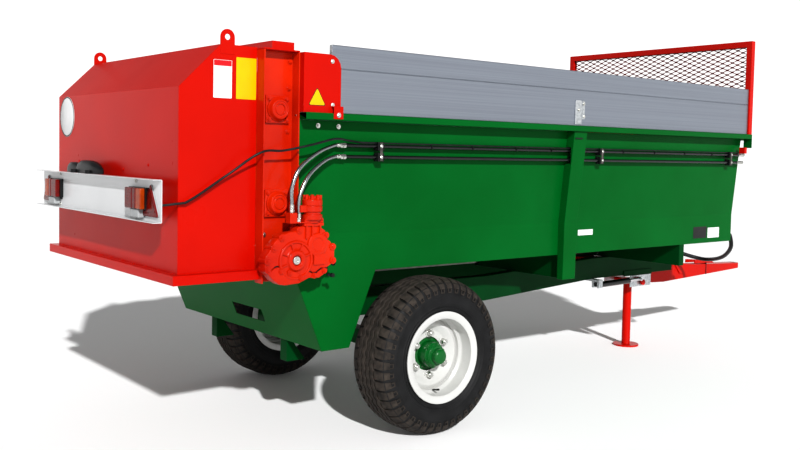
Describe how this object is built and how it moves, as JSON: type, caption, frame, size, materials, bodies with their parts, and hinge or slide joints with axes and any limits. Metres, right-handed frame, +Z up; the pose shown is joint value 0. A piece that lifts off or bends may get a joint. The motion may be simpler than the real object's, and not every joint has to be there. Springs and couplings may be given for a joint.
{
  "type": "trailed manure spreader",
  "caption": "Narrow trailed manure spreader with a V-sided floor-conveyor body, horizontal beaters under a rear hood, single axle and folding drawbar stand.",
  "frame": {"origin": "centre of the footprint, on the ground", "axes": "+X towards the drawbar, +Y to the machine's left, +Z up"},
  "size_m": [5.35, 1.684, 2.14],
  "materials": {
    "green_paint": "gloss enamel",
    "red_paint": "gloss enamel",
    "aluminium": "mill finish extrusion",
    "rim_paint": "satin off-white",
    "tyre_rubber": "matt",
    "steel": "bare steel",
    "galvanised": "galvanised",
    "black_paint": "satin black",
    "hose_rubber": "matt",
    "white_paint": "gloss white",
    "lamp_lens": "moulded lens"
  },
  "bodies": {
    "frame": {"side_panel_right": "green_paint", "side_panel_left": "green_paint", "top_rail_right": "green_paint", "top_rail_left": "green_paint", "mid_post_right": "green_paint", "mid_post_left": "green_paint", "chassis_rail_right": "green_paint", "chassis_rail_left": "green_paint", "front_wall": "green_paint", "floor": "green_paint", "rear_cross_plate": "green_paint", "cross_member_rear": "green_paint", "cross_member_mid": "green_paint", "cross_member_front": "green_paint", "axle_beam": "green_paint", "side_board_right": "aluminium", "side_board_left": "aluminium", "grille_frame": "red_paint", "grille_mesh": "red_paint", "drawbar": "red_paint", "hood_shell": "red_paint", "hood_side_right": "red_paint", "hood_side_left": "red_paint", "beater_column_right": "red_paint", "beater_column_left": "red_paint", "side_cheek_right": "red_paint", "side_cheek_left": "red_paint", "hood_lip": "red_paint", "top_beam": "red_paint", "floor_gearbox": "red_paint", "floor_motor": "red_paint", "chain_guard": "red_paint", "rear_angle_gearbox": "red_paint", "floor_conveyor": "steel", "conveyor_drive_shaft": "steel", "conveyor_idler_shaft": "steel", "driveline": "steel", "stand_bracket": "galvanised", "cylinder_anchor": "galvanised", "hydraulic_pipes": "black_paint", "plate_lamp": "black_paint", "motor_hose_1": "hose_rubber", "motor_hose_2": "hose_rubber", "front_hoses": "hose_rubber", "lamp_cable": "hose_rubber", "lamp_bar": "white_paint", "rear_lamp_right": "lamp_lens", "rear_lamp_left": "lamp_lens"},
    "wheel_right": {"hub_right": "green_paint", "rim_right": "rim_paint", "tyre_right": "tyre_rubber"},
    "wheel_left": {"hub_left": "green_paint", "rim_left": "rim_paint", "tyre_left": "tyre_rubber"},
    "upper_beater": {"beater_upper": "red_paint"},
    "lower_beater": {"beater_lower": "red_paint"},
    "stand": {"stand_leg": "red_paint"},
    "stand_ram_barrel": {"stand_cylinder": "black_paint"},
    "stand_ram_rod": {"stand_cylinder_rod": "steel"}
  },
  "joints": [
    {"name": "wheel_right_spin", "type": "hinge", "parent": "frame", "child": "wheel_right", "pos_m": [-1.255, -0.71, 0.38], "axis": [0, 1, 0], "continuous": true},
    {"name": "wheel_left_spin", "type": "hinge", "parent": "frame", "child": "wheel_left", "pos_m": [-1.255, 0.71, 0.38], "axis": [0, 1, 0], "continuous": true},
    {"name": "beater_upper_spin", "type": "hinge", "parent": "frame", "child": "upper_beater", "pos_m": [-2.121, 0, 1.532], "axis": [0, 1, 0], "continuous": true},
    {"name": "beater_lower_spin", "type": "hinge", "parent": "frame", "child": "lower_beater", "pos_m": [-2.121, 0, 1.133], "axis": [0, 1, 0], "continuous": true},
    {"name": "stand_fold", "type": "hinge", "parent": "frame", "child": "stand", "pos_m": [1.265, 0, 0.472], "axis": [0, 1, 0], "range_deg": [0, 80]},
    {"name": "stand_ram_tilt", "type": "hinge", "parent": "frame", "child": "stand_ram_barrel", "pos_m": [0.735, -0.15, 0.494], "axis": [0, -1, 0], "range_deg": [0, 2.63]},
    {"name": "stand_ram_slide", "type": "slide", "parent": "stand_ram_barrel", "child": "stand_ram_rod", "axis": [0.9999, 0, 0.0167], "range_m": [0, 0.0737]}
  ],
  "couplings": [
    {"joint": "beater_lower_spin", "follows": "beater_upper_spin", "ratio": 1},
    {"joint": "stand_ram_tilt", "follows": "stand_fold", "ratio": 0.03269},
    {"joint": "stand_ram_slide", "follows": "stand_fold", "m_per_rad": 0.05263}
  ]
}
